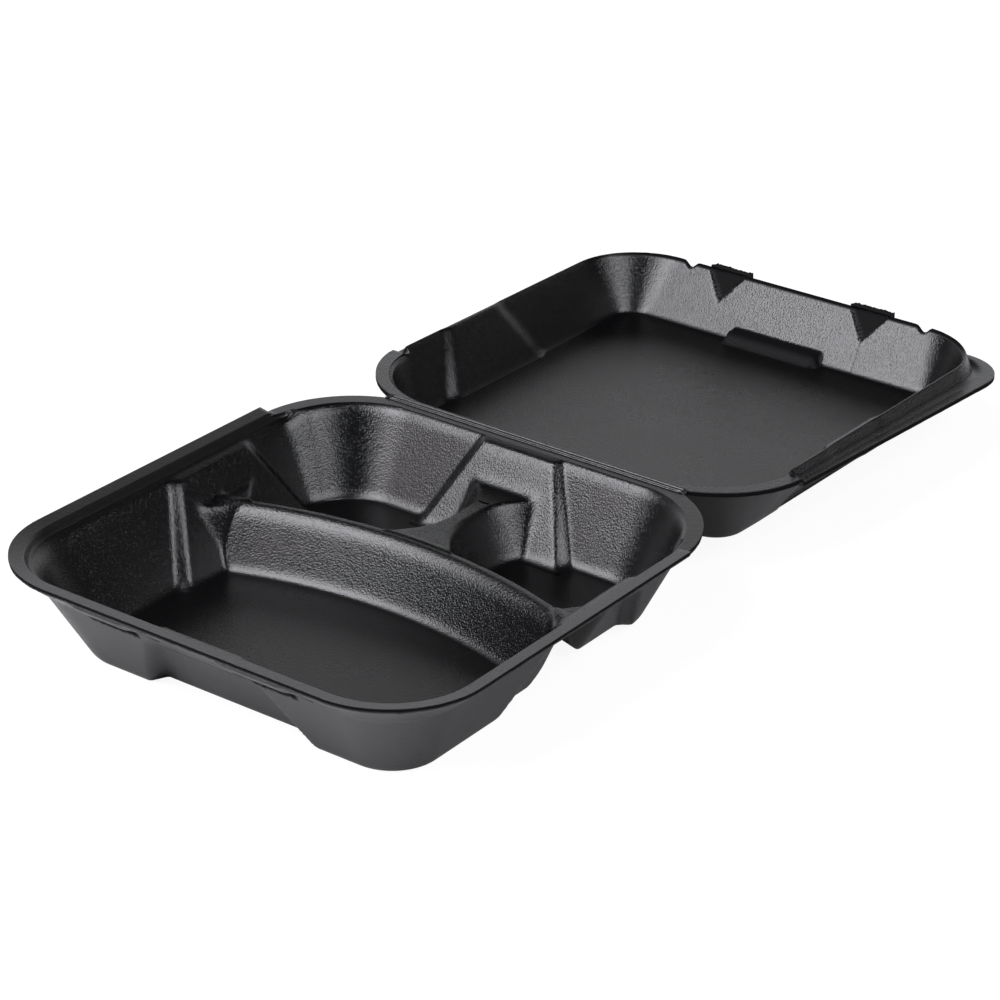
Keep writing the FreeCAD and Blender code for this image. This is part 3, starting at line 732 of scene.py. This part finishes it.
def make_tongue(name, x0, x1, seed):
    """Upright tongue over a pocket of the lid, with a torn top edge."""
    x = np.linspace(x0, x1, 40)
    top = TONGUE_TOP - 0.5 + wander(40, seed, 0.45, 1.2) - 1.2 * (1 - ease(x - x0, 0, 2.5))
    near, far = TONGUE_S
    s = np.stack([near + 0 * x, near + 0.1 + wander(40, seed + 1, 0.12, 1.2), far - 0.2 + 0 * x,
                  far + 0 * x], -1)
    h = np.stack([-3.0 + 0 * x, top, top - 0.25, -3.0 + 0 * x], -1)
    points = np.dstack([np.broadcast_to(x[:, None], s.shape), s, h])
    sections = lid_to_frame(points.reshape(-1, 3)).reshape(points.shape)
    return sweep(name, sections[:, ::-1], {
        "cut_and_shade": np.full(s.size, 0.8), "outside": np.zeros(s.size), "wall": np.zeros(s.size)})


def make_web():
    """Creased sheet between tray and lid: a groove on each side of a low rounded ridge. The
    section across it is a cosine wave, flattened at both ends."""
    x = np.linspace(-WEB_HALF, WEB_HALF, 60)
    across = np.linspace(-1, 1, 17)
    wave = 0.62 * np.cos(2 * math.pi * across) - 0.42 + 0.25 * np.abs(across) ** 3
    top = HINGE_Z + wave
    y = HINGE_Y + WEB_REACH * across
    low = top[::-1] - WEB_T
    section_y = np.concatenate([y, y[::-1]])
    section_z = np.concatenate([top, low])
    shape = (len(x), len(section_y))
    points = np.dstack([np.broadcast_to(x[:, None], shape), np.broadcast_to(section_y, shape),
                        np.broadcast_to(section_z, shape)])
    none = np.zeros(points.shape[0] * points.shape[1])
    return sweep("hinge_web", points[:, ::-1], {"cut_and_shade": none, "outside": none, "wall": none})


def linear(hex_colour):
    """sRGB hex to linear rgba."""
    rgb = [int(hex_colour[i:i + 2], 16) / 255 for i in (1, 3, 5)]
    return [c / 12.92 if c <= 0.04045 else ((c + 0.055) / 1.055) ** 2.4 for c in rgb] + [1.0]


def node(tree, kind, settings=None, inputs=None, links=None):
    """One shader node with its settings, input values and incoming links."""
    made = tree.nodes.new(kind)
    for key, value in (settings or {}).items():
        setattr(made, key, value)
    for key, value in (inputs or {}).items():
        made.inputs[key].default_value = value
    for key, source in (links or {}).items():
        tree.links.new(source, made.inputs[key])
    return made


def foam_material(name):
    """Pressed polystyrene foam, black, with a skin that is glossy and pebbled where the sheet
    was stretched over a wall, duller and finer-grained on floors and on the outside, and black
    without any shine where it is cut or torn. The same matt black is also painted shade: in the
    lid's pockets, on the steps at the starts of its crest, and under the closure strips."""
    material = bpy.data.materials.new(name)
    material.use_nodes = True
    tree = material.node_tree
    tree.nodes.clear()
    coords = node(tree, "ShaderNodeTexCoord").outputs["Object"]
    wall = node(tree, "ShaderNodeAttribute", {"attribute_name": "wall"}).outputs["Fac"]
    outside = node(tree, "ShaderNodeAttribute", {"attribute_name": "outside"}).outputs["Fac"]
    # This mask marks cut and torn foam, and also painted shade in the lid's pockets, at the crest's
    # steps and under the strips
    cut_and_shade = node(tree, "ShaderNodeAttribute", {"attribute_name": "cut_and_shade"}).outputs["Fac"]

    # Pebbles of the skin are about 0.7 mm across, its finer grain about 0.35 mm
    pebble = node(tree, "ShaderNodeTexNoise", None,
                  {"Scale": 1400.0, "Detail": 1.0, "Roughness": 0.5}, {"Vector": coords})
    grain = node(tree, "ShaderNodeTexNoise", None,
                 {"Scale": 2900.0, "Detail": 1.0, "Roughness": 0.5}, {"Vector": coords})
    patch = node(tree, "ShaderNodeTexNoise", None,
                 {"Scale": 28.0, "Detail": 3.0, "Roughness": 0.5}, {"Vector": coords})

    skin_rough = node(tree, "ShaderNodeMapRange", None,
                      {"From Min": 0.0, "From Max": 1.0, "To Min": 0.28, "To Max": 0.20},
                      {"Value": wall})
    duller = node(tree, "ShaderNodeMath", {"operation": "MULTIPLY_ADD"}, {1: 0.10},
                  {0: outside, 2: skin_rough.outputs["Result"]})
    worn = node(tree, "ShaderNodeMath", {"operation": "MULTIPLY_ADD"},
                {1: 0.06}, {0: patch.outputs["Fac"], 2: duller.outputs["Value"]})
    shifted = node(tree, "ShaderNodeMath", {"operation": "SUBTRACT"}, {1: 0.03},
                   {0: worn.outputs["Value"]})
    rough = node(tree, "ShaderNodeMix", {"data_type": "FLOAT"}, {"B": 0.95},
                 {"Factor": cut_and_shade, "A": shifted.outputs["Value"]})

    inner = node(tree, "ShaderNodeMix", {"data_type": "RGBA"},
                 {"A": linear("#080708"), "B": linear("#060607")}, {"Factor": wall})
    sides = node(tree, "ShaderNodeMix", {"data_type": "RGBA"}, {"B": linear("#121112")},
                 {"Factor": outside, "A": inner.outputs["Result"]})
    colour = node(tree, "ShaderNodeMix", {"data_type": "RGBA"}, {"B": linear("#0b0b0c")},
                  {"Factor": cut_and_shade, "A": sides.outputs["Result"]})

    # The pebbles stand out more where the skin is stretched
    depth = node(tree, "ShaderNodeMapRange", None,
                 {"From Min": 0.0, "From Max": 1.0, "To Min": 0.45, "To Max": 0.70},
                 {"Value": wall})
    fine = node(tree, "ShaderNodeBump", None, {"Strength": 0.12, "Distance": 0.0002},
                {"Height": grain.outputs["Fac"]})
    bump = node(tree, "ShaderNodeBump", None, {"Distance": 0.0003},
                {"Height": pebble.outputs["Fac"], "Strength": depth.outputs["Result"],
                 "Normal": fine.outputs["Normal"]})
    # Open cells at a cut edge swallow the light, and the same dull black is painted shade where the
    # mask marks shade
    shine = node(tree, "ShaderNodeMapRange", None,
                 {"From Min": 0.0, "From Max": 1.0, "To Min": 0.5, "To Max": 0.06},
                 {"Value": cut_and_shade})
    shader = node(tree, "ShaderNodeBsdfPrincipled", None,
                  {"IOR": 1.52, "Metallic": 0.0},
                  {"Specular IOR Level": shine.outputs["Result"],
                   "Base Color": colour.outputs["Result"], "Roughness": rough.outputs["Result"],
                   "Normal": bump.outputs["Normal"]})
    node(tree, "ShaderNodeOutputMaterial", None, None, {"Surface": shader.outputs["BSDF"]})
    return material


def white_floor():
    """Matt white paper floor: seen by the camera as white, with the shadow kept."""
    material = bpy.data.materials.new("studio_paper")
    material.use_nodes = True
    tree = material.node_tree
    tree.nodes.clear()
    path = node(tree, "ShaderNodeLightPath")
    paper = node(tree, "ShaderNodeBsdfDiffuse", None, {"Color": linear("#dedede")})
    glow = node(tree, "ShaderNodeEmission", None, {"Color": linear("#ffffff"), "Strength": 1.14})
    seen = node(tree, "ShaderNodeMath", {"operation": "MULTIPLY"}, {1: 0.80},
                {0: path.outputs["Is Camera Ray"]})
    mixed = node(tree, "ShaderNodeMixShader", None, None, {0: seen.outputs["Value"]})
    tree.links.new(paper.outputs["BSDF"], mixed.inputs[1])
    tree.links.new(glow.outputs["Emission"], mixed.inputs[2])
    node(tree, "ShaderNodeOutputMaterial", None, None, {"Surface": mixed.outputs["Shader"]})
    size, depth = 6.0, -0.0002
    mesh = bpy.data.meshes.new("studio_floor")
    mesh.from_pydata([(-size, -size, depth), (size, -size, depth), (size, size, depth),
                      (-size, size, depth)], [], [(0, 1, 2, 3)])
    floor = bpy.data.objects.new("studio_floor", mesh)
    bpy.context.scene.collection.objects.link(floor)
    mesh.materials.append(material)


def studio_world():
    """White backdrop in the direction BACKDROP, a dim room all round it, both fading upwards.
    The camera sees plain white."""
    world = bpy.data.worlds.new("studio")
    bpy.context.scene.world = world
    world.use_nodes = True
    tree = world.node_tree
    tree.nodes.clear()
    direction = node(tree, "ShaderNodeTexCoord").outputs["Generated"]
    parts = node(tree, "ShaderNodeSeparateXYZ", None, None, {"Vector": direction})
    low = node(tree, "ShaderNodeMapRange", {"interpolation_type": "SMOOTHSTEP"},
               {"From Min": 0.61, "From Max": 0.46, "To Min": 0.02, "To Max": 1.0},
               {"Value": parts.outputs["Z"]})
    towards = node(tree, "ShaderNodeVectorMath", {"operation": "DOT_PRODUCT"},
                   {1: BACKDROP}, {0: direction})
    back = node(tree, "ShaderNodeMapRange", {"interpolation_type": "SMOOTHSTEP"},
                {"From Min": 0.35, "From Max": 0.8, "To Min": 0.10, "To Max": 0.9},
                {"Value": towards.outputs["Value"]})
    strength = node(tree, "ShaderNodeMath", {"operation": "MULTIPLY"}, None,
                    {0: low.outputs["Result"], 1: back.outputs["Result"]})
    path = node(tree, "ShaderNodeLightPath")
    room = node(tree, "ShaderNodeBackground", None, {"Color": linear("#fbfcff")},
                {"Strength": strength.outputs["Value"]})
    seen = node(tree, "ShaderNodeBackground", None,
                {"Strength": 1.0, "Color": linear("#ffffff")})
    mixed = node(tree, "ShaderNodeMixShader", None, None, {0: path.outputs["Is Camera Ray"]})
    tree.links.new(room.outputs["Background"], mixed.inputs[1])
    tree.links.new(seen.outputs["Background"], mixed.inputs[2])
    node(tree, "ShaderNodeOutputWorld", None, None, {"Surface": mixed.outputs["Shader"]})


def softbox(name, aim, azimuth, elevation, distance, size, radiance):
    """Square softbox seen from aim at an azimuth (0 behind, 90 right, 180 in front) and an
    elevation in degrees; its brightness is given relative to the white of the picture."""
    a, e = math.radians(azimuth), math.radians(elevation)
    away = Vector((math.sin(a) * math.cos(e), math.cos(a) * math.cos(e), math.sin(e)))
    light = bpy.data.lights.new(name, "AREA")
    light.shape = "SQUARE"
    light.size = size
    light.color = linear("#fbfaff")[:3]
    light.energy = radiance * math.pi * size * size
    obj = bpy.data.objects.new(name, light)
    obj.location = aim + away * distance
    obj.rotation_euler = (-away).to_track_quat("-Z", "Y").to_euler()
    bpy.context.scene.collection.objects.link(obj)


def studio_camera():
    """Camera fitted to the photograph: azimuth, elevation, distance, roll and lens."""
    azimuth, elevation, roll = (math.radians(v) for v in (36.12, 26.196, 0.821))
    distance, target = 1.481392, Vector((-0.007893, 0.226239 + ORIGIN_Y, 0.020))
    away = Vector((math.sin(azimuth) * math.cos(elevation),
                   -math.cos(azimuth) * math.cos(elevation), math.sin(elevation)))
    right = (-away).cross(Vector((0, 0, 1))).normalized()
    up = right.cross(-away)
    turned = right * math.cos(roll) + up * math.sin(roll)
    up = up * math.cos(roll) - right * math.sin(roll)
    data = bpy.data.cameras.new("camera")
    data.sensor_width = 36.0
    data.lens = 3.297728 * data.sensor_width
    data.clip_start, data.clip_end = 0.01, 50
    camera = bpy.data.objects.new("camera", data)
    pose = Matrix((turned, up, away)).transposed().to_4x4()
    pose.translation = target + away * distance
    camera.matrix_world = pose
    bpy.context.scene.collection.objects.link(camera)
    bpy.context.scene.camera = camera


def dress(obj, material, body, slot, *nodes):
    """Gives a piece its material and body, and lets it stand for its nodes; slot is not used."""
    obj.data.materials.append(material)
    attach(obj, body)
    if nodes:
        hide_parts(*nodes)


foam = foam_material("pressed_black_foam")
tray = make_tray()
dress(tray, foam, "tray", "tray_foam", "base_tray")
lid = make_lid()
dress(lid, foam, "lid", "lid_foam", "lid")
for number, (slot, tear) in enumerate(zip(SLOTS, STRIPS)):
    strip = make_strip(f"closure_strip_{number}", slot, tear, 20 + number)
    dress(strip, foam, "tray", "tray_foam")
for number, (x0, x1) in enumerate(TONGUES):
    tongue = make_tongue(f"closure_tongue_{number}", x0, x1, 30 + 2 * number)
    dress(tongue, foam, "lid", "lid_foam")
web = make_web()
web.data.materials.append(foam)
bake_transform(web)

studio_camera()
studio_world()
white_floor()
centre_y = 0.235 + ORIGIN_Y
aim = Vector((0.0, centre_y, 0.0))
softbox("key_softbox", aim, 205, 43, 1.7, 1.25, 9.5)
softbox("right_softbox", aim, 95, 38, 1.7, 1.0, 6.0)
softbox("left_top_softbox", aim, 262, 62, 1.7, 0.7, 0.8)
bpy.context.scene.view_settings.view_transform = "Standard"
